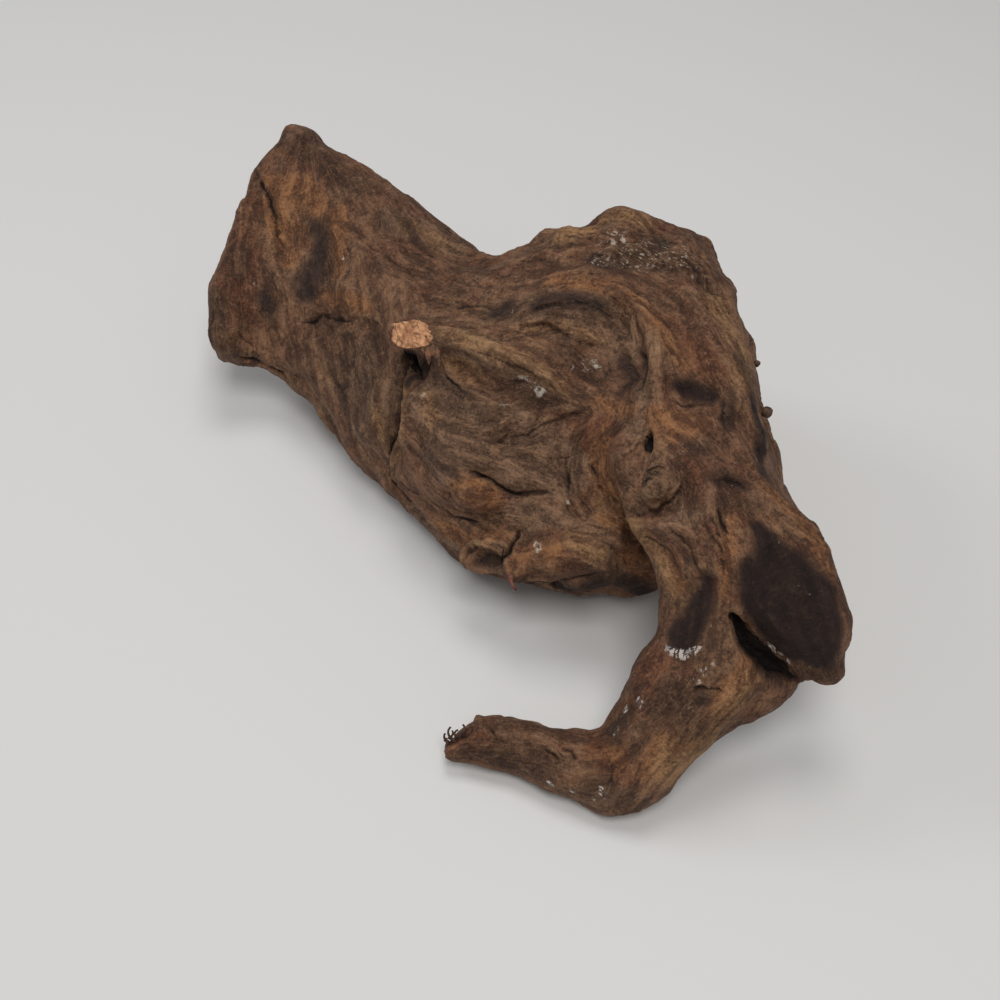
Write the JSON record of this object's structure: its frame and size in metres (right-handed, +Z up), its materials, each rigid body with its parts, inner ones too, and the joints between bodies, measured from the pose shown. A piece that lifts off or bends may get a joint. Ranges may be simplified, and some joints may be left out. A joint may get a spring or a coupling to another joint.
{
  "type": "driftwood",
  "caption": "Gnarled root driftwood for an aquarium: a flared end, a swollen body with a broken stub, and a bent leg with a pointed foot; it lies unheld on its low spots.",
  "frame": {"origin": "on the surface the wood lies on, under the middle of its bounding box", "axes": "+Z up; +Y from the foot to the flared end, along the longest extent; +X from the flared end's side to the side of the overhanging tongue"},
  "size_m": [0.2214, 0.2758, 0.1041],
  "materials": {
    "wood": "dry weathered brown wood, matt, with a slight sheen where it is worn"
  },
  "bodies": {
    "root": {"driftwood": "wood"}
  },
  "joints": []
}
